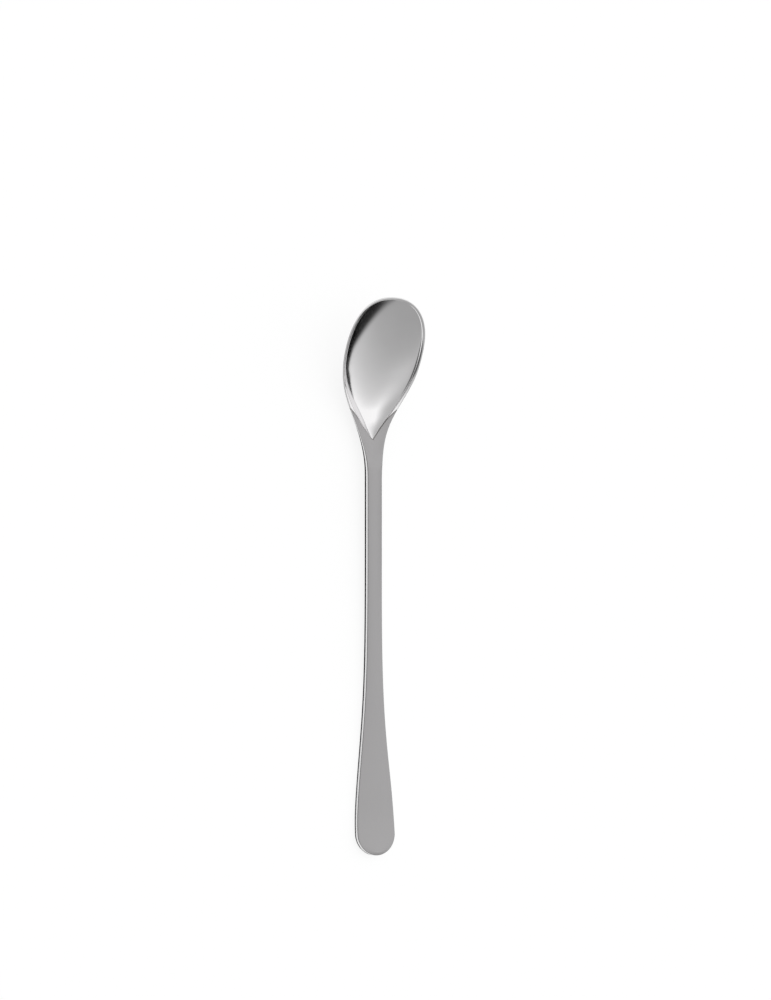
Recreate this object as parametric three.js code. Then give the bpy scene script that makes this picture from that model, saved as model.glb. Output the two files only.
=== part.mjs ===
import * as THREE from "three";
import { mergeVertices } from "three/addons/utils/BufferGeometryUtils.js";

// Long-handled dessert spoon lying on its back on a table, in millimetres.
// +Z is up, the bowl's tip points to +Y, the table is the plane z = 0.
// Along the spoon a place is written s, measured from the end of the handle.

// Overall
const spoonLength = 200;

// Handle seen from above
const endWidth = 15.6;
const endReach = 7.8;
const shaftWidth = 6.05;
const flareLength = 37;
const flarePower = 1.85;

// Handle seen from the side
const endThickness = 2.3;
const neckThickness = 2.6;
const restStart = 18;
const restLength = 12;
const bendLength = 20;
const neckLift = 2.82;
const endLift = 1.2;
const faceCrown = 0.3;
const edgeRound = 0.5;

// Bowl seen from above
const bowlWidth = 32.2;
const tipReach = 19.2;
const tipPower = 2.29;
const neckLead = 14.4;
const neckHold = 24;
const shoulderHold = 18.3;

// Bowl seen from the side
const tipHeight = 20.8;
const rimReach = 49.5;
const rimHold = 24.7;
const rimTipHold = 18.3;
const rimTipSlope = 0.22;
const neckSag = 1.5;
const sagReach = 43.1;
const sagLength = 35.6;
const rimThickness = 0.6;
const rimFlat = 0.6;
const rimDish = 0.3;
const bowlWall = 1.3;
const bottomReach = 39.5;
const heelHold = 4;
const neckBackHold = 10;
const bellyHold = 8;
const floorHold = 5;
const tipHold = 16.5;
const tipSlope = 0.82;
const wallPower = 2.1;
const lipShare = 0.2;
const lipPower = 20;
const bellyPower = 3.4;

// Brazed V joint between the bowl's heel and the forked neck
const heelReach = 50.1;
const heelSlope = 0.78;
const flankTurn = 6.5;
const flankBend = 0.06;
const apexDish = 0.15;
const armDish = 0.25;
const dishLength = 11;
const landBlend = 1.2;
const jointGap = 0.3;
const seamFit = 0.03;
const seamRecess = 0.08;

// Places along the spoon that follow from the sizes above
const widest = spoonLength - tipReach;
const apex = spoonLength - heelReach;
const neckStart = apex - neckLead;
const bottom = spoonLength - bottomReach;
const rimStart = spoonLength - rimReach;
const restEnd = restStart + restLength;
const bendEnd = restEnd + bendLength;
const shaftSlope = neckLift / (neckStart - restEnd - bendLength / 2);

// How finely the faces are divided
const capSteps = 7;
const flareSteps = 14;
const shaftSteps = 5;
const neckSteps = 8;
const armSteps = 10;
const bowlSteps = 10;
const tipSteps = 9;
const faceColumns = 5;
const hollowColumns = 9;
const arcColumns = 4;
const columnEase = 1.6;
const weldGrid = 1e-5;

const mix = THREE.MathUtils.lerp;

function smooth(value) {
  const t = Math.min(Math.max(value, 0), 1);
  return t * t * (3 - 2 * t);
}

// Last value between two ends at which a test still holds
function lastWhere(low, high, holds) {
  for (let i = 0; i < 40; i += 1) {
    const middle = (low + high) / 2;
    if (holds(middle)) {
      low = middle;
    } else {
      high = middle;
    }
  }
  return (low + high) / 2;
}

// Height of a curve drawn over s
function heightAt(curve, s) {
  return curve.getPoint(lastWhere(0, 1, (t) => curve.getPoint(t).x < s)).y;
}

function bezier(...points) {
  return new THREE.CubicBezierCurve(...points.map(([s, height]) => new THREE.Vector2(s, height)));
}

// Outline of the spoon from above, as half widths
const shoulder = bezier(
  [neckStart, shaftWidth / 2],
  [neckStart + neckHold, shaftWidth / 2],
  [widest - shoulderHold, bowlWidth / 2],
  [widest, bowlWidth / 2],
);

function bodyHalf(s) {
  if (s > neckStart) {
    return heightAt(shoulder, s);
  }
  const flare = Math.exp(-(((s - endReach) / flareLength) ** flarePower));
  return shaftWidth / 2 + ((endWidth - shaftWidth) / 2) * flare;
}

// Half width of the outline after moving it in by an inset
function half(s, inset) {
  if (s <= endReach) {
    const u = Math.min((endReach - s) / (endReach - inset), 1);
    return (endWidth / 2 - inset) * Math.sqrt(1 - u * u);
  }
  if (s >= widest) {
    const u = Math.min((s - widest) / (tipReach - inset), 1);
    return (bowlWidth / 2 - inset) * (1 - u ** tipPower) ** (1 / tipPower);
  }
  const step = 0.05;
  const before = Math.max(s - step, endReach);
  const after = Math.min(s + step, widest);
  const slope = (bodyHalf(after) - bodyHalf(before)) / (after - before);
  return bodyHalf(s) - inset * Math.hypot(1, slope);
}

// A station is a round cap angle at the handle's end, a length, or a cap angle at the tip
function planPoint(station, inset) {
  if (station.end !== undefined) {
    const s = endReach - (endReach - inset) * Math.cos(station.end);
    return [s, (endWidth / 2 - inset) * Math.sin(station.end)];
  }
  if (station.tip !== undefined) {
    const s = widest + (tipReach - inset) * Math.sin(station.tip) ** (2 / tipPower);
    return [s, (bowlWidth / 2 - inset) * Math.max(Math.cos(station.tip), 0) ** (2 / tipPower)];
  }
  return [station.s, half(station.s, inset)];
}

// Side view: underside of the handle, its thickness, and the line of the rim
function handleBack(s) {
  if (s < restStart) {
    return endLift * ((restStart - s) / restStart) ** 2;
  }
  if (s < restEnd) {
    return 0;
  }
  if (s < bendEnd) {
    return (shaftSlope * (s - restEnd) ** 2) / (2 * bendLength);
  }
  return shaftSlope * (s - restEnd - bendLength / 2);
}

function handleThickness(s) {
  return mix(endThickness, neckThickness, smooth(s / neckStart));
}

function neckToRim(s) {
  return smooth((s - neckStart) / (bottom - neckStart));
}

function edgeThickness(s) {
  return mix(handleThickness(s), rimThickness, neckToRim(s));
}

function edgeRadius(s) {
  return Math.min(mix(edgeRound, rimThickness / 2, neckToRim(s)), edgeThickness(s) / 2);
}

function handleFace(s) {
  return handleBack(s) + handleThickness(s);
}

const rimLine = bezier(
  [rimStart, handleFace(rimStart)],
  [rimStart + rimHold, handleFace(rimStart) + shaftSlope * rimHold],
  [spoonLength - rimTipHold, tipHeight - rimTipSlope * rimTipHold],
  [spoonLength, tipHeight],
);

// The edge sags a little where the neck runs down into the bowl
function edgeTop(s) {
  const u = THREE.MathUtils.clamp((s - spoonLength + sagReach) / (sagLength / 2), -1, 1);
  const sag = neckSag * (1 - u * u) ** 2;
  return (s < rimStart ? handleFace(s) : heightAt(rimLine, s)) - sag;
}

// Edge of the hollow from above: straight V flanks that run into the rim
function flankHalf(s) {
  return heelSlope * (s - apex);
}

function rimHalf(s) {
  return half(s, edgeRadius(s) + rimFlat);
}

const armEnd = lastWhere(apex, widest, (s) => flankHalf(s) < rimHalf(s));

function hollowHalf(s) {
  const flank = flankHalf(s);
  const rim = rimHalf(s);
  const blend = Math.max(landBlend - Math.abs(flank - rim), 0) / landBlend;
  return Math.min(flank, rim) - (blend * blend * landBlend) / 4;
}

// Line of the joint from above, moved sideways: straight beside the V, then bent out to the edge
function jointHalf(s, offset) {
  const past = Math.max(s - apex - flankTurn, 0);
  const slope = heelSlope + 2 * flankBend * past;
  return flankHalf(s) + flankBend * past * past + offset * Math.hypot(1, slope);
}

function jointStart(offset) {
  return lastWhere(neckStart, widest, (s) => jointHalf(s, offset) < 0);
}

function jointEnd(offset, inset) {
  return lastWhere(apex, widest, (s) => jointHalf(s, offset) < half(s, inset));
}

// How far the face drops from its edge to the middle or to the hollow
function faceDrop(s) {
  const outer = half(s, edgeRadius(s));
  if (s < apex) {
    return apexDish * half(apex, edgeRadius(apex)) * smooth((s - apex + dishLength) / dishLength);
  }
  const arm = mix(apexDish, armDish, smooth((s - apex) / ((armEnd - apex) / 2)));
  const dish = mix(arm, rimDish, smooth((s - armEnd) / (widest - armEnd)));
  return dish * (s < widest ? outer - Math.max(hollowHalf(s), 0) : rimFlat);
}

// Floor of the hollow and underside of the neck and bowl along the middle
const rimEnd = spoonLength - rimThickness / 2 - rimFlat;
const apexHeight = edgeTop(apex) - faceDrop(apex);
const heelLine = bezier(
  [apex, apexHeight],
  [apex + heelHold, (apexHeight + bowlWall) / 2],
  [bottom - heelHold, bowlWall],
  [bottom, bowlWall],
);
const floorEnd = edgeTop(rimEnd) - faceDrop(rimEnd);
const floorLine = bezier(
  [bottom, bowlWall],
  [bottom + floorHold, bowlWall],
  [rimEnd - tipHold, floorEnd - tipSlope * tipHold],
  [rimEnd, floorEnd],
);
const backNeck = bezier(
  [neckStart, handleBack(neckStart)],
  [neckStart + neckBackHold, handleBack(neckStart) + shaftSlope * neckBackHold],
  [bottom - bellyHold, 0],
  [bottom, 0],
);
const backEnd = spoonLength - rimThickness / 2;
const backRise = edgeTop(backEnd) - rimThickness;
const backBowl = bezier(
  [bottom, 0],
  [bottom + floorHold, 0],
  [backEnd - tipHold, backRise - tipSlope * tipHold],
  [backEnd, backRise],
);

function hollowFloor(s) {
  return s < bottom ? heightAt(heelLine, s) : heightAt(floorLine, s);
}

function backMiddle(s) {
  if (s < neckStart) {
    return handleBack(s);
  }
  return s < bottom ? heightAt(backNeck, s) : heightAt(backBowl, s);
}

// Height of the upper and under surfaces at any place
function topHeight(s, x) {
  const outer = half(s, edgeRadius(s));
  const hollow = Math.max(hollowHalf(s), 0);
  const edge = edgeTop(s);
  const drop = faceDrop(s);
  if (x < hollow) {
    const floor = hollowFloor(s);
    const across = x / hollow;
    const rise = mix(across ** wallPower, across ** lipPower, lipShare);
    return mix(floor, edge - drop, rise);
  }
  const inward = outer > hollow ? Math.max((outer - x) / (outer - hollow), 0) : 0;
  const straight = smooth((s - apex + dishLength / 2) / dishLength);
  const round = inward * (2 - inward);
  const crown = faceCrown * (1 - smooth((s - neckStart) / (apex - neckStart)));
  return edge + crown * round - drop * (round + (inward - round) * straight);
}

function backHeight(s, x) {
  const outer = half(s, edgeRadius(s));
  const edge = edgeTop(s) - edgeThickness(s);
  const middle = backMiddle(s);
  const u = outer > 0 ? Math.min(x / outer, 1) : 1;
  return mix(middle, edge, u ** bellyPower);
}

// Points are set on a fine grid, so that neighbouring faces share theirs exactly
function snap(value) {
  return Math.round(value / weldGrid) * weldGrid;
}

function point(s, x, z) {
  return new THREE.Vector3(snap(x), snap(s - spoonLength / 2), snap(z));
}

// Points across one station: a face from one half width to another, and the round edge
function faceRow(height, from, to, columns) {
  const row = [];
  for (let i = 0; i <= columns; i += 1) {
    const t = 1 - (1 - i / columns) ** columnEase;
    const s = mix(from[0], to[0], t);
    const x = mix(from[1], to[1], t);
    row.push(point(s, x, height(s, x)));
  }
  return row;
}

// Where a face that comes in from inside touches the round of an edge, as an angle
function touchAngle(radius, rise) {
  const away = Math.hypot(rise, rimFlat);
  return Math.PI - Math.atan2(rise, rimFlat) - Math.acos(Math.min(radius / away, 1));
}

function edgeRow(station, recess = 0) {
  const row = [];
  const radius = edgeRadius(planPoint(station, 0)[0]);
  const thickness = edgeThickness(planPoint(station, 0)[0]);
  const [landS, landX] = planPoint(station, radius + rimFlat);
  const rise = topHeight(landS, landX) - edgeTop(landS) + radius;
  const fall = edgeTop(landS) - thickness + radius - backHeight(landS, landX);
  const add = (angle, drop) => {
    const [s, x] = planPoint(station, radius - (radius - recess) * Math.cos(angle));
    row.push(point(s, x, edgeTop(s) - drop + (radius - recess) * Math.sin(angle)));
  };
  for (const angle of steps(touchAngle(radius, rise), 0, arcColumns)) {
    add(angle, radius);
  }
  for (const angle of steps(0, -touchAngle(radius, fall), arcColumns)) {
    add(angle, thickness - radius);
  }
  return row;
}

// Part of a chain of points between two half widths, with the rest gathered on the cuts
function between(chain, low, high) {
  const last = chain[chain.length - 1];
  const from = low > last.x - 10 * weldGrid ? last.x : low;
  return chain.map((corner) => {
    const x = Math.min(Math.max(corner.x, from), high, last.x);
    if (x === corner.x) {
      return corner;
    }
    const k = Math.max(chain.findIndex((other) => other.x >= x), 1);
    const [a, b] = [chain[k - 1], chain[k]];
    const t = b.x > a.x ? (x - a.x) / (b.x - a.x) : 1;
    return new THREE.Vector3(snap(x), corner.y, snap(mix(a.z, b.z, t)));
  });
}

// Where the flat beside the round edge begins
function landPoint(station) {
  return planPoint(station, edgeRadius(planPoint(station, 0)[0]) + rimFlat);
}

// One slice of the spoon, over the top from the inside out and back underneath
function slice(station, from, knee, columns, low, high, recess = 0) {
  const [s] = landPoint(station);
  const edge = edgeRow(station, recess);
  const turn = edge.length / 2;
  const top = faceRow((y, x) => topHeight(y, x) - recess, [s, from], [s, knee], columns);
  const back = faceRow((y, x) => backHeight(y, x) + recess, [s, from], [s, knee], columns);
  const upper = between([...top, ...edge.slice(0, turn)], low, high);
  const under = between([...back, ...edge.slice(turn).reverse()], low, high);
  return [...upper, ...under.reverse()];
}

// Half of a closed body: quads of the +X side, mirrored and sewn into one mesh
class HalfBody {
  constructor() {
    this.corners = [];
  }

  triangle(a, b, c) {
    this.corners.push(a, b, c);
  }

  quad(a, b, c, d) {
    this.triangle(a, b, c);
    this.triangle(a, c, d);
  }

  sheet(rows) {
    for (let i = 0; i + 1 < rows.length; i += 1) {
      for (let j = 0; j + 1 < rows[i].length; j += 1) {
        this.quad(rows[i][j], rows[i][j + 1], rows[i + 1][j + 1], rows[i + 1][j]);
      }
    }
  }

  // Upright wall along the inner side of slices that are cut free of the middle
  wall(rows) {
    this.sheet(rows.map((row) => [row[row.length - 1], row[0]]));
  }

  geometry() {
    const values = [];
    for (let i = 0; i < this.corners.length; i += 3) {
      const [a, b, c] = this.corners.slice(i, i + 3);
      for (const corner of [a, b, c]) {
        values.push(corner.x, corner.y, corner.z);
      }
      for (const corner of [a, c, b]) {
        values.push(-corner.x, corner.y, corner.z);
      }
    }
    const loose = new THREE.BufferGeometry();
    loose.setAttribute("position", new THREE.Float32BufferAttribute(values, 3));
    const sewn = mergeVertices(loose, weldGrid);
    const kept = [];
    const index = sewn.getIndex().array;
    for (let i = 0; i < index.length; i += 3) {
      const [a, b, c] = index.slice(i, i + 3);
      if (a !== b && b !== c && a !== c) {
        kept.push(a, b, c);
      }
    }
    sewn.setIndex(kept);
    sewn.computeVertexNormals();
    return sewn;
  }
}

function steps(from, to, count, skipFirst) {
  const list = [];
  for (let i = skipFirst ? 1 : 0; i <= count; i += 1) {
    list.push(mix(from, to, i / count));
  }
  return list;
}

// Handle: one bar from the rounded end to the arms of the fork, which taper out at the outline
function handleGeometry() {
  const body = new HalfBody();
  const forkApex = jointStart(jointGap / 2);
  const flareEnd = endReach + 2.3 * flareLength;
  const stations = steps(0, Math.PI / 2, capSteps).map((end) => ({ end }));
  const lengths = [
    ...steps(endReach, flareEnd, flareSteps, true),
    ...steps(flareEnd, neckStart, shaftSteps, true),
    ...steps(neckStart, forkApex, neckSteps, true),
    ...steps(forkApex, jointEnd(jointGap / 2, 0), armSteps, true),
  ];
  stations.push(...lengths.map((s) => ({ s })));
  const rows = stations.map((station) => {
    const [s, knee] = landPoint(station);
    const inner = s > forkApex ? jointHalf(s, jointGap / 2) : 0;
    return slice(station, Math.min(inner, knee), knee, faceColumns, inner, Infinity);
  });
  body.sheet(rows);
  body.wall(rows.slice(-armSteps - 1));
  return body.geometry();
}

// Bowl: pressed shell with a rounded rim and a pointed heel
function bowlGeometry() {
  const body = new HalfBody();
  const heelEnd = jointEnd(-jointGap / 2, 0);
  const lengths = [
    ...steps(jointStart(-jointGap / 2), heelEnd, armSteps),
    ...steps(heelEnd, widest, bowlSteps, true),
  ];
  const stations = lengths.map((s) => ({ s }));
  stations.push(...steps(0, Math.PI / 2, tipSteps, true).map((tip) => ({ tip })));
  body.sheet(stations.map((station, i) => {
    const [s, land] = landPoint(station);
    const outer = i < armSteps ? Math.max(jointHalf(s, -jointGap / 2), 0) : Infinity;
    const knee = Math.max(Math.min(hollowHalf(s), land, outer), 0);
    return slice(station, 0, knee, hollowColumns, 0, outer);
  }));
  return body.geometry();
}

// Brazing metal: a thin V between heel and fork, set back from the faces
function seamGeometry() {
  const body = new HalfBody();
  const reach = jointGap / 2 - seamFit;
  const inside = jointStart(-reach);
  const lengths = [
    ...steps(jointStart(reach), inside, 2),
    ...steps(inside, jointEnd(-reach, seamRecess), armSteps, true),
  ];
  const rows = lengths.map((s, i) => {
    const [, knee] = landPoint({ s });
    const low = i > 2 ? jointHalf(s, -reach) : 0;
    const high = i > 0 ? jointHalf(s, reach) : 0;
    return slice({ s }, Math.min(low, knee), knee, 2, low, high, seamRecess);
  });
  body.sheet(rows);
  body.wall(rows.slice(-armSteps - 1));
  return body.geometry();
}

const satin = new THREE.MeshStandardMaterial({ color: 0xb1afb0, metalness: 1, roughness: 0.35 });
const polish = new THREE.MeshStandardMaterial({ color: 0xd0cecf, metalness: 1, roughness: 0.08 });
const braze = new THREE.MeshStandardMaterial({ color: 0x8a8785, metalness: 1, roughness: 0.4 });

const spoon = new THREE.Group();
spoon.name = "dessert_spoon";

const handle = new THREE.Mesh(handleGeometry(), satin);
handle.name = "handle";
spoon.add(handle);

const bowl = new THREE.Mesh(bowlGeometry(), polish);
bowl.name = "bowl";
spoon.add(bowl);

const seam = new THREE.Mesh(seamGeometry(), braze);
seam.name = "braze_seam";
spoon.add(seam);

export default spoon;
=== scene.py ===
# %% [markdown]
# # A long-handled dessert spoon in two finishes
# The spoon has three pieces of metal: a satin handle whose neck forks into two arms, a polished
# bowl whose pointed heel lies in that fork, and the thin V of brazing metal that joins them.
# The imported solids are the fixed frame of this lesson. They are true to size but faceted, and
# mirror-bright metal shows every facet, so each piece is drawn again here from the same lines
# with many more faces, and takes the place of its solid.

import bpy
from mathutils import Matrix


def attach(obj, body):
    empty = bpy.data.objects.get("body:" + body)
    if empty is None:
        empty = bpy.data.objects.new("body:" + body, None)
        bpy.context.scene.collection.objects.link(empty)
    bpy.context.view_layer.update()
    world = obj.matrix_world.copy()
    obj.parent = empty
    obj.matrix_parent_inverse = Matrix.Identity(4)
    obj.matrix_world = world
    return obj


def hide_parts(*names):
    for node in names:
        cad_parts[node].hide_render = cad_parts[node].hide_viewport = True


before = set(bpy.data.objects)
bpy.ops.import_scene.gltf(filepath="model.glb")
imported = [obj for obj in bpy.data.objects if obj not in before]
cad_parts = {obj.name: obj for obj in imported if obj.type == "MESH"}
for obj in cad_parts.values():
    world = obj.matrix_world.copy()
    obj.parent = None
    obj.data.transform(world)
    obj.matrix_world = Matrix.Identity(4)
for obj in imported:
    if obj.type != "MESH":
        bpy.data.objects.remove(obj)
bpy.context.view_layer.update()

import math

import bmesh
import bpy
import numpy as np
from mathutils import Matrix, Vector

# %% [markdown]
# ## The sizes
# A place along the spoon is written s and runs from 0 at the end of the handle to 200 mm at the
# tip of the bowl. The sizes are the ones that the solids were made from, so the finer pieces
# fill the same space. Only the last millimetre inside the rim is drawn finer than in the
# solids, because its bevel and lip decide how the polished rim catches the light.

# %% Sizes in millimetres
SPOON_LENGTH = 200.0
END_WIDTH, END_REACH, SHAFT_WIDTH = 15.6, 7.8, 6.05
FLARE_LENGTH, FLARE_POWER = 37.0, 1.85
END_THICKNESS, NECK_THICKNESS = 2.3, 2.6
REST_START, REST_LENGTH, BEND_LENGTH = 18.0, 12.0, 20.0
NECK_LIFT, END_LIFT, FACE_CROWN, EDGE_ROUND = 2.82, 1.2, 0.3, 0.5
BOWL_WIDTH, TIP_REACH, TIP_POWER = 32.2, 19.2, 2.29
NECK_LEAD, NECK_HOLD, SHOULDER_HOLD = 14.4, 24.0, 18.3
TIP_HEIGHT, RIM_REACH, RIM_HOLD = 20.8, 49.5, 24.7
RIM_TIP_HOLD, RIM_TIP_SLOPE = 18.3, 0.22
NECK_SAG, SAG_REACH, SAG_LENGTH = 1.5, 43.1, 35.6
RIM_THICKNESS, RIM_FLAT, BOWL_WALL = 0.6, 0.6, 1.3
RIM_DISH, TIP_DISH = 1.0, 0.3
BOTTOM_REACH, HEEL_HOLD, FLOOR_HOLD = 39.5, 4.0, 5.0
NECK_BACK_HOLD, BELLY_HOLD = 10.0, 8.0
TIP_HOLD, TIP_SLOPE, WALL_POWER = 16.5, 0.82, 2.1
LIP_SHARE, LIP_POWER, BELLY_POWER = 0.13, 50.0, 3.4
HEEL_REACH, HEEL_SLOPE, FLANK_TURN, FLANK_BEND = 50.1, 0.78, 6.5, 0.06
APEX_DISH, ARM_DISH, DISH_LENGTH, LAND_BLEND = 0.15, 0.25, 11.0, 1.2
JOINT_GAP, SEAM_FIT, SEAM_RECESS = 0.3, 0.03, 0.08

WIDEST = SPOON_LENGTH - TIP_REACH
APEX = SPOON_LENGTH - HEEL_REACH
NECK_START = APEX - NECK_LEAD
BOTTOM = SPOON_LENGTH - BOTTOM_REACH
RIM_START = SPOON_LENGTH - RIM_REACH
REST_END = REST_START + REST_LENGTH
BEND_END = REST_END + BEND_LENGTH
SHAFT_SLOPE = NECK_LIFT / (NECK_START - REST_END - BEND_LENGTH / 2)
print("widest at", WIDEST, "mm, joint starts at", APEX, "mm, shaft rises", round(SHAFT_SLOPE, 4))

# %% [markdown]
# ## The outline from above
# A maker cuts the blank along one flowing line: a round end, a flare that dies away into the
# slim shaft, and shoulders that swell into the egg-shaped bowl. A flare that fades
# exponentially and one Bezier curve give those without any corner, and the tip is a
# superellipse, a little squarer than a true ellipse.

# %% Soft steps and drawn curves
def smooth(value):
    t = np.clip(value, 0.0, 1.0)
    return t * t * (3 - 2 * t)


def mix(a, b, t):
    return (1 - t) * a + t * b


def drawn_curve(*corners):
    """Height over s along a cubic Bezier curve with four corner points."""
    a, b, c, d = np.array(corners, float)
    t = np.linspace(0, 1, 4001)[:, None]
    line = (1 - t) ** 3 * a + 3 * (1 - t) ** 2 * t * b + 3 * (1 - t) * t**2 * c + t**3 * d
    return lambda s: np.interp(s, line[:, 0], line[:, 1])


print("a soft step is", [float(smooth(t)) for t in (0, 0.25, 0.5, 0.75, 1)])

# %% Half width of the outline
shoulder = drawn_curve(
    (NECK_START, SHAFT_WIDTH / 2),
    (NECK_START + NECK_HOLD, SHAFT_WIDTH / 2),
    (WIDEST - SHOULDER_HOLD, BOWL_WIDTH / 2),
    (WIDEST, BOWL_WIDTH / 2),
)


def body_half(s):
    flare = np.exp(-((np.maximum(s - END_REACH, 0) / FLARE_LENGTH) ** FLARE_POWER))
    handle = mix(SHAFT_WIDTH, END_WIDTH, flare) / 2
    return np.where(s > NECK_START, shoulder(s), handle)


def half(s, inset):
    """Half width after moving the outline in by an inset."""
    s = np.asarray(s, float)
    into_end = np.minimum(np.maximum(END_REACH - s, 0) / (END_REACH - inset), 1)
    end = (END_WIDTH / 2 - inset) * np.sqrt(1 - into_end**2)
    into_tip = np.minimum(np.maximum(s - WIDEST, 0) / (TIP_REACH - inset), 1)
    tip = (BOWL_WIDTH / 2 - inset) * (1 - into_tip**TIP_POWER) ** (1 / TIP_POWER)
    before, after = np.maximum(s - 0.05, END_REACH), np.minimum(s + 0.05, WIDEST)
    slope = (body_half(after) - body_half(before)) / np.maximum(after - before, 1e-6)
    middle = body_half(s) - inset * np.hypot(1, slope)
    return np.where(s <= END_REACH, end, np.where(s >= WIDEST, tip, middle))


print("half widths:", [round(float(half(s, 0)), 2) for s in (8, 60, 120, 150, 180, 198)])

# %% Places on the outline
def plan_point(station, inset):
    """A station is ("end", angle), ("along", s) or ("tip", angle)."""
    kind, value = station
    if kind == "end":
        s = END_REACH - (END_REACH - inset) * math.cos(value)
        return s, (END_WIDTH / 2 - inset) * math.sin(value)
    if kind == "tip":
        s = WIDEST + (TIP_REACH - inset) * math.sin(value) ** (2 / TIP_POWER)
        return s, (BOWL_WIDTH / 2 - inset) * max(math.cos(value), 0) ** (2 / TIP_POWER)
    return value, float(half(value, inset))


print("the tip is at", plan_point(("tip", math.pi / 2), 0)[0], "mm")

# %% [markdown]
# ## The side view
# Seen from the side the handle lies flat near its end, bends up gently and reaches the neck
# 3 mm above the table. From there the rim climbs to the tip in one sweep, while the bottom of
# the bowl comes back down to the table. The metal thins from the stout neck to a fine rim.

# %% Handle and rim lines
def handle_back(s):
    end = END_LIFT * (np.maximum(REST_START - s, 0) / REST_START) ** 2
    bend = SHAFT_SLOPE * np.maximum(s - REST_END, 0) ** 2 / (2 * BEND_LENGTH)
    rise = SHAFT_SLOPE * (s - REST_END - BEND_LENGTH / 2)
    return np.where(s < REST_END, end, np.where(s < BEND_END, bend, rise))


def handle_thickness(s):
    return mix(END_THICKNESS, NECK_THICKNESS, smooth(s / NECK_START))


def neck_to_rim(s):
    return smooth((s - NECK_START) / (BOTTOM - NECK_START))


def edge_thickness(s):
    return mix(handle_thickness(s), RIM_THICKNESS, neck_to_rim(s))


def edge_radius(s):
    round_off = mix(EDGE_ROUND, RIM_THICKNESS / 2, neck_to_rim(s))
    return np.minimum(round_off, edge_thickness(s) / 2)


rim_foot = float(handle_back(RIM_START) + handle_thickness(RIM_START))
rim_line = drawn_curve(
    (RIM_START, rim_foot),
    (RIM_START + RIM_HOLD, rim_foot + SHAFT_SLOPE * RIM_HOLD),
    (SPOON_LENGTH - RIM_TIP_HOLD, TIP_HEIGHT - RIM_TIP_SLOPE * RIM_TIP_HOLD),
    (SPOON_LENGTH, TIP_HEIGHT),
)


def edge_top(s):
    u = np.clip((s - SPOON_LENGTH + SAG_REACH) / (SAG_LENGTH / 2), -1, 1)
    line = np.where(s < RIM_START, handle_back(s) + handle_thickness(s), rim_line(s))
    return line - NECK_SAG * (1 - u * u) ** 2


print("rim heights:", [round(float(edge_top(s)), 2) for s in (0, 80, 150, 180, 200)])

# %% [markdown]
# ## The hollow and the fork
# The bowl's heel is a plain V, so the edge of the hollow is two straight flanks that run
# softly into the line of the rim. The joint runs along the flanks and then bends out to the
# edge, where the arms of the fork end. The face of the neck dishes towards the V, which is
# what makes the joint look cradled, and inside the rim the face falls in a small bevel that
# fades towards the tip.

# %% Edge of the hollow, and how far the face drops towards it
def rim_half(s):
    return half(s, edge_radius(s) + RIM_FLAT)


def hollow_half(s):
    flank, rim = HEEL_SLOPE * (s - APEX), rim_half(s)
    blend = np.maximum(LAND_BLEND - np.abs(flank - rim), 0) / LAND_BLEND
    return np.minimum(flank, rim) - blend**2 * LAND_BLEND / 4


flank_run = np.linspace(APEX, WIDEST, 40001)
ARM_END = float(flank_run[np.argmax(HEEL_SLOPE * (flank_run - APEX) >= rim_half(flank_run))])
APEX_FACE = float(half(APEX, edge_radius(APEX)))


def face_drop(s):
    neck = APEX_DISH * APEX_FACE * smooth((s - APEX + DISH_LENGTH) / DISH_LENGTH)
    arm = mix(APEX_DISH, ARM_DISH, smooth((s - APEX) / ((ARM_END - APEX) / 2)))
    side = mix(arm, RIM_DISH, smooth((s - ARM_END) / (WIDEST - ARM_END)))
    dish = mix(side, TIP_DISH, smooth((s - WIDEST) / TIP_REACH))
    land = half(s, edge_radius(s)) - np.maximum(hollow_half(s), 0)
    return np.where(s < APEX, neck, dish * np.where(s < WIDEST, land, RIM_FLAT))


print("the face drops by", [round(float(face_drop(s)), 2) for s in (140, 150, 165, 180, 199)])

# %% Line of the joint
def joint_half(s, offset):
    """Half width of the joint, moved sideways: straight beside the V, then bent out to the edge."""
    past = np.maximum(s - APEX - FLANK_TURN, 0)
    slope = HEEL_SLOPE + 2 * FLANK_BEND * past
    return HEEL_SLOPE * (s - APEX) + FLANK_BEND * past**2 + offset * np.hypot(1, slope)


def last_place(low, high, holds):
    for _ in range(50):
        middle = (low + high) / 2
        low, high = (middle, high) if holds(middle) else (low, middle)
    return (low + high) / 2


def joint_start(offset):
    return last_place(NECK_START, WIDEST, lambda s: joint_half(s, offset) < 0)


def joint_end(offset, inset):
    return last_place(APEX, WIDEST, lambda s: joint_half(s, offset) < half(s, inset))


print("arms of the fork run from", APEX, "to", round(joint_end(JOINT_GAP / 2, 0), 2), "mm")

# %% Floor of the hollow and underside along the middle
RIM_END = SPOON_LENGTH - RIM_THICKNESS / 2 - RIM_FLAT
BACK_END = SPOON_LENGTH - RIM_THICKNESS / 2
apex_height = float(edge_top(APEX) - face_drop(APEX))
floor_end = float(edge_top(RIM_END) - face_drop(RIM_END))
back_end = float(edge_top(BACK_END)) - RIM_THICKNESS
neck_back = float(handle_back(NECK_START))
heel_line = drawn_curve(
    (APEX, apex_height),
    (APEX + HEEL_HOLD, (apex_height + BOWL_WALL) / 2),
    (BOTTOM - HEEL_HOLD, BOWL_WALL),
    (BOTTOM, BOWL_WALL),
)
floor_line = drawn_curve(
    (BOTTOM, BOWL_WALL),
    (BOTTOM + FLOOR_HOLD, BOWL_WALL),
    (RIM_END - TIP_HOLD, floor_end - TIP_SLOPE * TIP_HOLD),
    (RIM_END, floor_end),
)
neck_line = drawn_curve(
    (NECK_START, neck_back),
    (NECK_START + NECK_BACK_HOLD, neck_back + SHAFT_SLOPE * NECK_BACK_HOLD),
    (BOTTOM - BELLY_HOLD, 0),
    (BOTTOM, 0),
)
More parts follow.
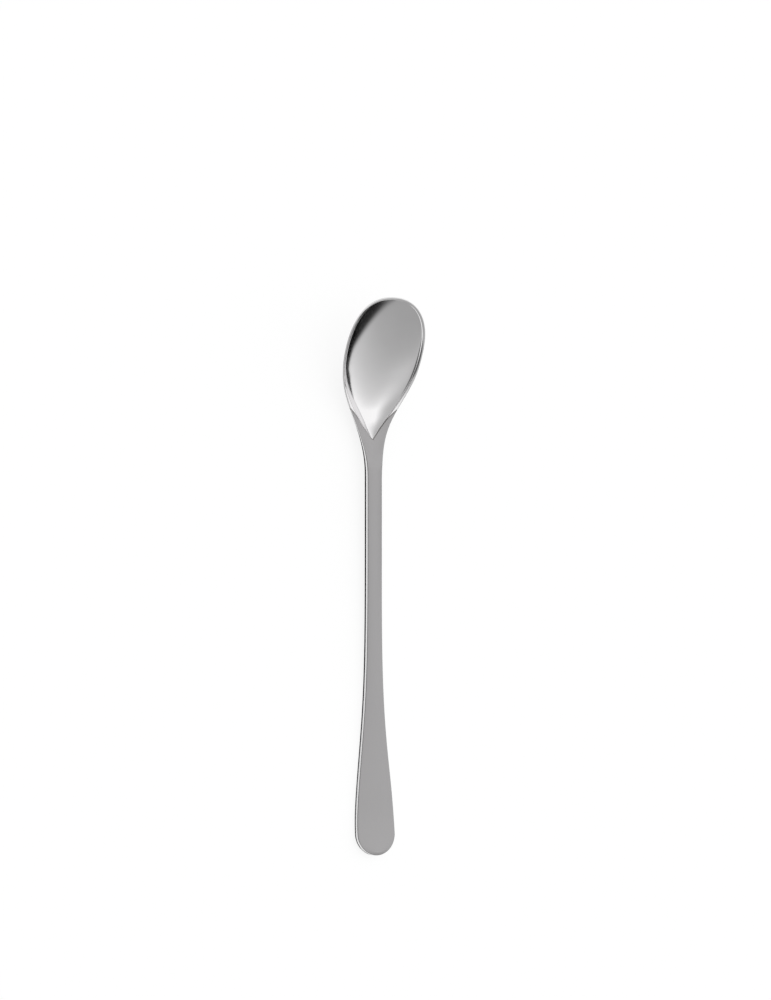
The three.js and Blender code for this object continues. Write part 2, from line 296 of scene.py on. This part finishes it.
belly_line = drawn_curve(
    (BOTTOM, 0),
    (BOTTOM + FLOOR_HOLD, 0),
    (BACK_END - TIP_HOLD, back_end - TIP_SLOPE * TIP_HOLD),
    (BACK_END, back_end),
)


def hollow_floor(s):
    return np.where(s < BOTTOM, heel_line(s), floor_line(s))


def back_middle(s):
    bowl = np.where(s < BOTTOM, neck_line(s), belly_line(s))
    return np.where(s < NECK_START, handle_back(s), bowl)


print("floor of the hollow:", [round(float(hollow_floor(s)), 2) for s in (150, 160, 180, 199)])

# %% [markdown]
# ## The two skins of the metal
# Every point of the spoon lies on an upper skin or an under skin. Across the handle the upper
# skin is a slight crown. Across the bowl it is a hollow: a power a little above two keeps the
# floor broad, and a small steep lip closes it just inside the rim.

# %% Upper and under skin
def top_height(s, x):
    outer, hollow = half(s, edge_radius(s)), np.maximum(hollow_half(s), 0)
    edge, drop, floor = edge_top(s), face_drop(s), hollow_floor(s)
    across = x / np.where(hollow > 0, hollow, 1)
    rise = mix(across**WALL_POWER, across**LIP_POWER, LIP_SHARE)
    bowl = mix(floor, edge - drop, rise)
    width = np.where(outer > hollow, outer - hollow, 1)
    inward = np.where(outer > hollow, np.maximum(outer - x, 0) / width, 0)
    straight = smooth((s - APEX + DISH_LENGTH / 2) / DISH_LENGTH)
    rounded = inward * (2 - inward)
    crown = FACE_CROWN * (1 - smooth((s - NECK_START) / (APEX - NECK_START)))
    face = edge + crown * rounded - drop * mix(rounded, inward, straight)
    return np.where(x < hollow, bowl, face)


def back_height(s, x):
    outer = half(s, edge_radius(s))
    edge, middle = edge_top(s) - edge_thickness(s), back_middle(s)
    u = np.where(outer > 0, np.minimum(x / np.where(outer > 0, outer, 1), 1), 1)
    return mix(middle, edge, u**BELLY_POWER)


wall = float(top_height(BOTTOM, 0.0) - back_height(BOTTOM, 0.0))
print("the bowl is", round(wall, 2), "mm thick at its bottom")

# %% [markdown]
# ## The edge of the metal
# On the real spoon the side of the handle is a narrow polished wall between two small rounds,
# and that wall is what draws the bright line along it. At the rim the two rounds meet. Each
# round starts where it just touches the face that comes in, so no ridge is left.

# %% Rows of points across one station
ARC_STEPS = 7


def row_of_points(s, x, z):
    return np.stack(np.broadcast_arrays(x, np.asarray(s) - SPOON_LENGTH / 2, z), -1)


def face_row(height, s, start, finish, spread):
    x = mix(start, finish, spread)
    return row_of_points(s, x, height(s, x))


def touch_angle(radius, rise):
    away = math.hypot(rise, RIM_FLAT)
    return math.pi - math.atan2(rise, RIM_FLAT) - math.acos(min(radius / away, 1.0))


def edge_chains(station, recess=0.0):
    """The upper and the under round of the edge, each from its face out to the side wall."""
    outline = plan_point(station, 0)[0]
    radius, thick = float(edge_radius(outline)), float(edge_thickness(outline))
    land = plan_point(station, radius + RIM_FLAT)
    rise = float(top_height(*land) - edge_top(land[0])) + radius
    fall = float(edge_top(land[0]) - back_height(*land)) - thick + radius
    chains = []
    for touch, drop, way in ((rise, radius, 1), (fall, thick - radius, -1)):
        chain = []
        for angle in way * np.linspace(touch_angle(radius, touch), 0, ARC_STEPS + 1):
            s, x = plan_point(station, radius - (radius - recess) * math.cos(angle))
            z = float(edge_top(s)) - drop + (radius - recess) * math.sin(angle)
            chain.append((x, s - SPOON_LENGTH / 2, z))
        chains.append(np.array(chain))
    return chains


print("points round one edge:", 2 * (ARC_STEPS + 1))

# %% One slice of the spoon between two cuts
DENSE_INSIDE = np.linspace(0, 1, 17) ** 2
DENSE_OUTSIDE = 1 - np.linspace(1, 0, 61) ** 2
LAND_SPREAD = np.linspace(0, 1, 7)[1:-1, None] ** 2
EASE, CUT_BEND, KNEE_BEND = 0.12, 2.0, 0.9


def land_point(station):
    return plan_point(station, float(edge_radius(plan_point(station, 0)[0])) + RIM_FLAT)


def between(chain, low, high):
    """The part of a chain of points between two half widths, the rest gathered on the cuts."""
    if low <= chain[0, 0] and high >= chain[-1, 0]:
        return chain
    x = np.clip(chain[:, 0], low, min(high, chain[-1, 0]))
    return np.stack([x, chain[:, 1], np.interp(x, chain[:, 0], chain[:, 2])], -1)


def softened(chain, corner, bend, reach):
    """A chain let down a little within reach of a corner, which takes its sharpness off."""
    near = np.maximum(reach - np.abs(chain[:, 0] - corner), 0)
    return chain - np.outer(bend * near**2 / (4 * max(reach, 1e-9)), (0, 0, 1))


print("points across the hollow:", 2 * len(DENSE_OUTSIDE), "and across the handle:",
      2 * len(DENSE_INSIDE))

# %% [markdown]
# ## Sewing a piece together
# The spoon is the same on both sides, so only the +X half is drawn, as sheets of points. Each
# sheet is mirrored, all sheets are sewn where their borders meet, and the result is one closed
# skin. Shading is smooth except across true corners and where one finish stops at another.

# %% A half piece and its mirror image
class HalfPiece:
    def __init__(self):
        self.points, self.quads, self.finish, self.count = [], [], [], 0

    def add(self, points, faces, finish):
        for side in (1, -1):
            self.points.append(points * (side, 1, 1) * 0.001)
            turned = faces if side > 0 else [face[::-1] for face in faces]
            self.quads += [[self.count + k for k in face] for face in turned]
            self.finish += [finish] * len(faces)
            self.count += len(points)

    def sheet(self, rows, finish=0):
        grid = np.array(rows)
        n, m = grid.shape[:2]
        k = np.arange(n * m).reshape(n, m)
        quads = np.stack([k[:-1, :-1], k[:-1, 1:], k[1:, 1:], k[1:, :-1]], -1)
        self.add(grid.reshape(-1, 3), quads.reshape(-1, 4).tolist(), finish)

    def piece(self, name, corner=35):
        mesh = bpy.data.meshes.new(name)
        mesh.from_pydata(np.concatenate(self.points).tolist(), [], self.quads)
        mesh.polygons.foreach_set("material_index", self.finish)
        sewn = bmesh.new()
        sewn.from_mesh(mesh)
        bmesh.ops.remove_doubles(sewn, verts=sewn.verts, dist=2e-7)
        bmesh.ops.dissolve_degenerate(sewn, edges=sewn.edges, dist=1e-8)
        open_edges = sum(1 for edge in sewn.edges if len(edge.link_faces) != 2)
        for edge in sewn.edges:
            faces = edge.link_faces
            if len(faces) == 2:
                bend = math.degrees(edge.calc_face_angle(0))
                seam = faces[0].material_index != faces[1].material_index
                edge.smooth = bend < corner and not seam
        for face in sewn.faces:
            face.smooth = True
        volume = sewn.calc_volume(signed=True)
        sewn.to_mesh(mesh)
        sewn.free()
        made = bpy.data.objects.new(name, mesh)
        bpy.context.scene.collection.objects.link(made)
        print(name, len(mesh.polygons), "faces, open edges", open_edges,
              "volume in mm3", round(volume * 1e9, 1))
        return made


def places(start, finish, count):
    return list(np.linspace(start, finish, count + 1))


# %% [markdown]
# ## The handle
# One bar of steel from the round end to the tips of the fork. It could be cut from a block,
# but lofting rows of points keeps the long lines perfectly fair. The crowned face, the back
# and the parts of the rounds next to them are satin, and the side wall between them is
# polished, so the mesh carries two finishes.

# %% Draw the handle
SATIN, POLISH = 0, 1
FLARE_RUN, SATIN_STEPS = 2.3, 4


def drawn_handle():
    body = HalfPiece()
    gap, fork = JOINT_GAP / 2, joint_start(JOINT_GAP / 2)
    flare_end = END_REACH + FLARE_RUN * FLARE_LENGTH
    along = places(END_REACH, flare_end, 90)[1:] + places(flare_end, NECK_START, 30)[1:]
    along += places(NECK_START, fork, 44)[1:]
    arm = places(fork, joint_end(gap, 0), 60)[1:]
    stations = [("end", a) for a in places(0, math.pi / 2, 26)]
    stations += [("along", s) for s in along + arm]
    rows = []
    for station in stations:
        (upper, under), (s, land) = edge_chains(station), land_point(station)
        inner = max(float(joint_half(s, gap)), 0.0) if s > fork else 0.0
        start = min(inner, land)
        top = np.vstack([face_row(top_height, s, start, land, DENSE_INSIDE), upper])
        back = np.vstack([face_row(back_height, s, start, land, DENSE_INSIDE), under])
        top, back = between(top, inner, np.inf), between(back, inner, np.inf)
        if inner > 0:
            reach = min(EASE, 0.3 * inner, 0.4 * (upper[-1, 0] - inner))
            top = softened(top, inner, CUT_BEND, reach)
        rows.append((top, back[::-1]))
    face = len(DENSE_INSIDE) + SATIN_STEPS
    body.sheet([top[:face] for top, back in rows], SATIN)
    body.sheet([np.vstack([top[face - 1 :], back[: 1 - face]]) for top, back in rows], POLISH)
    body.sheet([back[-face:] for top, back in rows], SATIN)
    body.sheet([(back[-1], top[0]) for top, back in rows[-len(arm) - 1 :]], SATIN)
    return body.piece("satin_handle")


handle = drawn_handle()

# %% [markdown]
# ## The bowl
# A pressed shell: the hollow, a narrow land round it, the rounded rim and the belly below.
# The whole bowl is polished like a mirror, so it gets the finest mesh, and the inner edge of
# the land is eased by a tenth of a millimetre as a polishing wheel would leave it.

# %% Draw the bowl
def drawn_bowl():
    body = HalfPiece()
    gap, heel_end = JOINT_GAP / 2, joint_end(-JOINT_GAP / 2, 0)
    heel = places(joint_start(-gap), heel_end, 70)[:-1]
    stations = [("along", s) for s in heel + places(heel_end, WIDEST, 56)]
    stations += [("tip", a) for a in places(0, math.pi / 2, 56)[1:]]
    rows = []
    for i, station in enumerate(stations):
        (upper, under), (s, land) = edge_chains(station), land_point(station)
        outer = max(float(joint_half(s, -gap)), 0.0) if i < len(heel) else np.inf
        knee = max(min(float(hollow_half(s)), land, outer), 0.0)
        top = face_row(top_height, s, 0.0, knee, DENSE_OUTSIDE)
        top = np.vstack([top, mix(top[-1], upper[0], LAND_SPREAD), upper])
        back = np.vstack([face_row(back_height, s, 0.0, knee, DENSE_OUTSIDE), under])
        top, back = between(top, 0.0, outer), between(back, 0.0, outer)
        reach = min(EASE, 0.3 * knee)
        top = softened(top, knee, KNEE_BEND, reach) if outer > knee else top
        top = softened(top, outer, CUT_BEND, reach) if i < len(heel) else top
        rows.append(np.vstack([top, back[::-1]]))
    body.sheet(rows)
    return body.piece("polished_bowl")


bowl = drawn_bowl()

# %% [markdown]
# ## The brazed seam
# When the heel is brazed into the fork, a thin V of brazing metal stays between them and runs
# out at the edge where the arms end. It is set back a little from both faces, so from the front
# it reads as the fine dark line round the heel.

# %% Draw the seam
def drawn_seam():
    body = HalfPiece()
    reach = JOINT_GAP / 2 - SEAM_FIT
    inside = joint_start(-reach)
    apex_run = places(joint_start(reach), inside, 4)
    arm = places(inside, joint_end(-reach, SEAM_RECESS), 60)[1:]
    rows = []
    for i, s in enumerate(apex_run + arm):
        station = ("along", s)
        (upper, under), (s, land) = edge_chains(station, SEAM_RECESS), land_point(station)
        low = float(joint_half(s, -reach)) if i >= len(apex_run) else 0.0
        high = float(joint_half(s, reach)) if i else 0.0
        spread = np.linspace(0, 1, 4)
        top = face_row(top_height, s, min(low, land), land, spread) - (0, 0, SEAM_RECESS)
        back = face_row(back_height, s, min(low, land), land, spread) + (0, 0, SEAM_RECESS)
        top = between(np.vstack([top, upper]), low, high)
        back = between(np.vstack([back, under]), low, high)
        rows.append(np.vstack([top, back[::-1]]))
    body.sheet(rows)
    body.sheet([(row[-1], row[0]) for row in rows[-len(arm) - 1 :]])
    return body.piece("brazed_seam")


seam = drawn_seam()

# %% [markdown]
# ## Writing shaders as sums
# A shader graph is easier to read as arithmetic. This class holds one output of a node, and
# adding or multiplying it with a number or another output adds the Math node for it.

# %% A wire between nodes
class Wire:
    def __init__(self, tree, output):
        self.tree, self.output = tree, output

    @classmethod
    def node(cls, tree, kind, settings=None, inputs=None, out=0):
        made = tree.nodes.new(kind)
        for key, value in (settings or {}).items():
            setattr(made, key, value)
        for key, value in (inputs or {}).items():
            if isinstance(value, Wire):
                tree.links.new(value.output, made.inputs[key])
            else:
                made.inputs[key].default_value = value
        return cls(tree, made.outputs[out] if made.outputs else None)

    def math(self, operation, first, second):
        sides = {0: first, 1: second}
        return Wire.node(self.tree, "ShaderNodeMath", {"operation": operation}, sides)

    def __add__(self, other):
        return self.math("ADD", self, other)

    def __sub__(self, other):
        return self.math("SUBTRACT", self, other)

    def __rsub__(self, other):
        return self.math("SUBTRACT", other, self)

    def __mul__(self, other):
        return self.math("MULTIPLY", self, other)

    __radd__, __rmul__ = __add__, __mul__


def soft_step(wire, start, finish):
    """0 before start, 1 after finish and a soft rise between them."""
    rise = {"interpolation_type": "SMOOTHSTEP"}
    limits = {"Value": wire, "From Min": start, "From Max": finish}
    return Wire.node(wire.tree, "ShaderNodeMapRange", rise, limits)


def new_finish(name):
    material = bpy.data.materials.new(name)
    material.use_nodes = True
    material.node_tree.nodes.clear()
    return material, material.node_tree


# %% Noise, tint and metal
def grain(tree, scale, detail=3.0, rough=0.55):
    """Noise in the spoon's own space, stretched by a scale per metre in x, y and z."""
    place = Wire.node(tree, "ShaderNodeTexCoord", out="Object")
    stretched = Wire.node(tree, "ShaderNodeMapping", None, {"Vector": place, "Scale": scale})
    settings = {"Vector": stretched, "Scale": 1.0, "Detail": detail, "Roughness": rough}
    return Wire.node(tree, "ShaderNodeTexNoise", None, settings, out="Fac")


def tint(tree, amount, dark, light):
    colours = {0: amount, 6: (*dark, 1), 7: (*light, 1)}
    return Wire.node(tree, "ShaderNodeMix", {"data_type": "RGBA"}, colours, out=2)


def metal(tree, colour, roughness, relief, distance):
    bump = {"Height": relief, "Strength": 1.0, "Distance": distance}
    normal = Wire.node(tree, "ShaderNodeBump", None, bump)
    sockets = {"Base Color": colour, "Metallic": 1.0, "Roughness": roughness, "Normal": normal}
    surface = Wire.node(tree, "ShaderNodeBsdfPrincipled", None, sockets)
    Wire.node(tree, "ShaderNodeOutputMaterial", None, {"Surface": surface})
    print("nodes in this finish:", len(tree.nodes))


# %% [markdown]
# ## Satin steel
# The satin of the handle is a field of very fine scratches laid along the spoon. They are far
# too fine to model, so noise stretched some fifty times along the handle drives the roughness,
# a trace of the colour and a bump of a few thousandths of a millimetre.

# %% Satin finish
satin, tree = new_finish("satin_steel")
scratches = grain(tree, (14000, 260, 14000), 4.0, 0.6)
drift = grain(tree, (90, 45, 90), 2.0)
worn = scratches * 0.7 + drift * 0.3
metal(
    tree,
    tint(tree, worn, (0.37, 0.363, 0.366), (0.48, 0.472, 0.476)),
    0.46 + 0.10 * scratches + 0.05 * drift,
    scratches,
    4e-6,
)

# %% [markdown]
# ## Polished steel
# The bowl and the sides of the handle are buffed. A buffed surface is never perfect: broad
# cloudy patches are a shade softer, and hair-fine wiping marks cross them. Both stay very weak.

# %% Polished finish
polish, tree = new_finish("polished_steel")
clouds = grain(tree, (140, 140, 140), 2.0)
wipes = grain(tree, (5200, 420, 2600), 3.0, 0.6)
metal(
    tree,
    tint(tree, clouds, (0.775, 0.767, 0.772), (0.825, 0.817, 0.822)),
    0.06 + 0.04 * clouds + 0.03 * wipes,
    wipes,
    2.5e-7,
)

# %% [markdown]
# ## Brazing metal
# Brazing metal freezes with a fine grainy skin and stays duller and darker than the steel.

# %% Brazed finish
braze, tree = new_finish("brazed_metal")
grains = grain(tree, (6000, 6000, 6000), 3.0)
metal(
    tree,
    tint(tree, grains, (0.22, 0.212, 0.207), (0.36, 0.347, 0.339)),
    0.32 + 0.2 * grains,
    grains,
    6e-6,
)

# %% [markdown]
# ## Dressing the spoon
# Each finer piece takes its finish, rides on the spoon's one body and stands for its solid,
# which stays in place unseen for collisions. The handle carries two finishes, the others one.

# %% Finishes on the pieces, and the pieces in place of their solids
pieces = (
    (handle, "handle", "satin_steel", (satin, polish)),
    (bowl, "bowl", "polished_steel", (polish,)),
    (seam, "braze_seam", "braze", (braze,)),
)
for piece, node, slot, finishes in pieces:
    for finish in finishes:
        piece.data.materials.append(finish)
    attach(piece, "root")
    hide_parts(node)
    print(piece.name, "stands for", node, "with", [f.name for f in finishes])

# %% [markdown]
# ## The table
# The spoon lies on a plain white table. The table takes the spoon's soft shadow as any matt
# surface does, and glows a little for the camera and for reflections, so that it stays white
# without any more light on the metal. Close under the spoon, where little of the room is open
# to the table, the glow fades for reflections: that fade is painted contact shade in the glow.

# %% A sheet of the studio
def studio_sheet(name, points, faces, finish):
    """A flat sheet that belongs to the studio and not to the spoon."""
    mesh = bpy.data.meshes.new(name)
    mesh.from_pydata(points, [], faces)
    mesh.materials.append(finish)
    sheet = bpy.data.objects.new(name, mesh)
    bpy.context.scene.collection.objects.link(sheet)
    print(name, "with", len(faces), "faces")
    return sheet


# %% Table
TABLE_HALF, TABLE_GREY, TABLE_GLOW = 4, 0.2, 0.85
CONTACT_REACH, CONTACT_DARK, CONTACT_CLEAR = 0.008, 0.62, 0.72

white, tree = new_finish("white_table")
path = Wire.node(tree, "ShaderNodeLightPath", out="Is Camera Ray")
glossy = Wire(tree, path.output.node.outputs["Is Glossy Ray"])
through = Wire(tree, path.output.node.outputs["Is Transmission Ray"])
contact = {"Distance": CONTACT_REACH}
open_room = Wire.node(tree, "ShaderNodeAmbientOcclusion", {"samples": 16}, contact, out="AO")
# painted contact shade: the glow that reflections see fades where the spoon closes the table in
seen = path + through + glossy * soft_step(open_room, CONTACT_DARK, CONTACT_CLEAR)
matt = Wire.node(tree, "ShaderNodeBsdfDiffuse", None, {"Color": (*[TABLE_GREY] * 3, 1)})
glow = Wire.node(tree, "ShaderNodeEmission", None, {"Strength": seen * TABLE_GLOW})
both = Wire.node(tree, "ShaderNodeAddShader", None, {0: matt, 1: glow})
Wire.node(tree, "ShaderNodeOutputMaterial", None, {"Surface": both})
turns = ((-1, -1), (1, -1), (1, 1), (-1, 1))
corners = [(TABLE_HALF * x, TABLE_HALF * y, 0) for x, y in turns]
studio_sheet("table", corners, [(0, 1, 2, 3)], white)

# %% [markdown]
# ## The studio
# Polished metal is a picture of the room. One broad soft light stands overhead, a little to
# the right and towards the tip, and fades behind the handle and to the left. Close to the
# horizon the room is dark on both sides. That dark is what draws the black crescent in the
# bowl and the fine lines along the edges. All of it is a sum of soft steps over the direction.

# %% Room light
world = bpy.data.worlds.new("studio")
bpy.context.scene.world = world
world.use_nodes = True
tree = world.node_tree
tree.nodes.clear()
place = Wire.node(tree, "ShaderNodeTexCoord", out="Generated")
across = Wire.node(tree, "ShaderNodeSeparateXYZ", None, {"Vector": place}, out="X")
along = Wire(tree, across.output.node.outputs["Y"])
height = Wire(tree, across.output.node.outputs["Z"])
ROOM_LEVEL, ROOM_RISE, LAMP_LEVEL = 0.42, 0.14, 0.6
RIGHT_DARK, LEFT_DARK = 0.97, 0.8
level = ROOM_LEVEL + ROOM_RISE * soft_step(along, -0.9, -0.55)
lamp = soft_step(along, -0.74, 0.08) * (1 - soft_step(along, 0.45, 0.85))
lamp = lamp * soft_step(across, -0.65, 0.0)
room = level + LAMP_LEVEL * lamp
behind = soft_step(-1 * along, 0.2, 0.8)
dark_right = (1 - soft_step(height - 0.2 * behind, 0.02, 0.1)) * soft_step(across, 0.15, 0.4)
dark_right = dark_right * soft_step(along, -0.94, -0.82)
dark_left = soft_step(-1 * across, 0.7, 0.9) * (1 - soft_step(along, 0.0, 0.4))
room = room * (1 - RIGHT_DARK * dark_right) * (1 - LEFT_DARK * dark_left)
sky = Wire.node(tree, "ShaderNodeBackground", None, {"Color": room, "Strength": 1.0})
Wire.node(tree, "ShaderNodeOutputWorld", None, {"Surface": sky})
print("nodes in the room:", len(tree.nodes))

# %% [markdown]
# ## A black card and a painted shadow strip
# Below the horizon the polished metal would show nothing but the white table. A photographer
# sets a small black card where the metal needs a dark line: a low one on the right carries the
# crescent on down the left wall of the bowl. A narrow black strip along the left foot of the
# handle is painted shadow for the table under the handle, and draws the fine dark line under its
# polished side. Only reflections see the card and the strip, and they cast no shadow.

# %% Card for the bowl
black, tree = new_finish("black_card")
matt = Wire.node(tree, "ShaderNodeBsdfDiffuse", None, {"Color": (0.012, 0.012, 0.012, 1)})
Wire.node(tree, "ShaderNodeOutputMaterial", None, {"Surface": matt})


def black_card(name, points, faces):
    """A black sheet that only reflections see."""
    card = studio_sheet(name, points, faces, black)
    card.visible_camera = card.visible_diffuse = False
    card.visible_shadow = card.visible_transmission = False
    return card


CARD_PLACE = 0.06
outline = ((0.0, 1e-4), (0.065, 1e-4), (0.065, 0.013), (0.04, 0.024), (0.0, 0.024))
black_card("black_card", [(CARD_PLACE, y, z) for y, z in outline], [(0, 1, 2, 3, 4)])

# %% Painted shadow strip for the side of the handle
LEAN = math.radians(30)
STRIP_START, STRIP_END, STRIP_TUCK, STRIP_HEIGHT = 2.0, 172.0, 0.3, 0.1
DARK_SHARE, SHAFT_MORE, NECK_MORE = 0.32, 0.13, 0.6

# The picture leans to the left, so the side wall shows the table a little away from its foot.
# This strip of painted shadow reaches as far out as the share of the wall that has to be dark.
run = np.array(places(STRIP_START, STRIP_END, 170))
foot = edge_top(run) - edge_thickness(run)
share = DARK_SHARE + SHAFT_MORE * smooth((run - 20) / 60)
share = share + NECK_MORE * smooth((run - NECK_START) / 20)
near = half(run, STRIP_TUCK)
far = half(run, 0) + math.tan(LEAN) * (foot + share * edge_thickness(run))
sides = [row_of_points(run, -x, STRIP_HEIGHT) * 0.001 for x in (near, far)]
count = len(run)
quads = [(k, k + 1, count + k + 1, count + k) for k in range(count - 1)]
# the black strip is painted shadow: it stands for the shade on the table under the handle
black_card("painted_shadow_strip", np.concatenate(sides).tolist(), quads)

# %% [markdown]
# ## The camera
# The picture is taken from the left of the spoon, thirty degrees over from straight above its
# face, square to the handle, and from a metre away, so the lines stay almost parallel.

# %% Camera
LENS, SENSOR, PICTURE_HEIGHT = 100.0, 36.0, 1000
MM_PER_PIXEL = 0.3608
SPOON_PIXEL = Vector((-10.04, -77.92))

towards = Vector((-math.sin(LEAN), -SHAFT_SLOPE * math.cos(LEAN), math.cos(LEAN))).normalized()
upright = Vector((0, 1, SHAFT_SLOPE))
upright = (upright - towards * upright.dot(towards)).normalized()
right = upright.cross(towards)
distance = MM_PER_PIXEL * PICTURE_HEIGHT * LENS / SENSOR
middle = Vector((0, 0, float(top_height(100.0, 0.0))))
shift = (right * SPOON_PIXEL.x + upright * SPOON_PIXEL.y) * MM_PER_PIXEL
stand = (middle + towards * distance - shift) * 0.001

camera_data = bpy.data.cameras.new("camera")
camera_data.lens, camera_data.sensor_width = LENS, SENSOR
camera = bpy.data.objects.new("camera", camera_data)
turn = Matrix((right, upright, towards)).transposed().to_4x4()
camera.matrix_world = Matrix.Translation(stand) @ turn
bpy.context.scene.collection.objects.link(camera)
bpy.context.scene.camera = camera
bpy.context.scene.view_settings.view_transform = "Standard"
print("camera stands at", [round(v, 4) for v in stand])

# %% [markdown]
# ## Last step
# The dressed spoon has to fill the same box as the solids. The last cell brings the scene up
# to date.

# %% Bring the scene up to date
bpy.context.view_layer.update()
